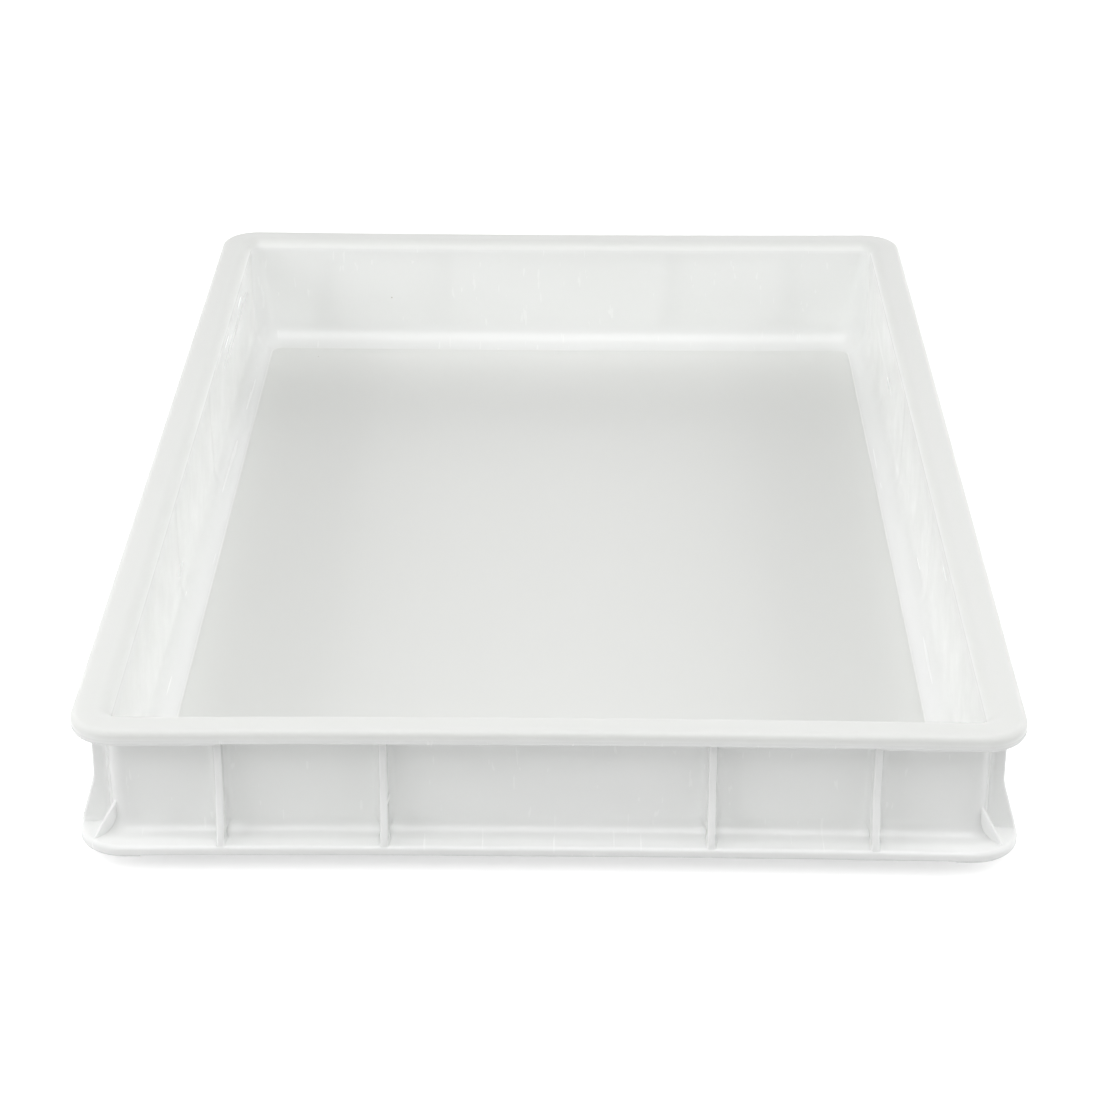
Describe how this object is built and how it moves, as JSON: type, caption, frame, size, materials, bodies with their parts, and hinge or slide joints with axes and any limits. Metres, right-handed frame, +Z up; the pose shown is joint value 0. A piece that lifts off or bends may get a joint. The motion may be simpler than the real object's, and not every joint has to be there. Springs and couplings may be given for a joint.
{
  "type": "dough proofing tray",
  "caption": "Shallow rectangular stacking tray with a flat rim, ribbed walls and a low stacking shoulder, for proofing dough balls in stacks.",
  "frame": {"origin": "centre of the plane that the tray stands on", "axes": "+Z up, +Y along the long side, +X across the short side"},
  "size_m": [0.4, 0.6, 0.07],
  "materials": {
    "tray_plastic": "satin white polyethylene, slightly translucent"
  },
  "bodies": {
    "root": {"tray": "tray_plastic"}
  },
  "joints": []
}
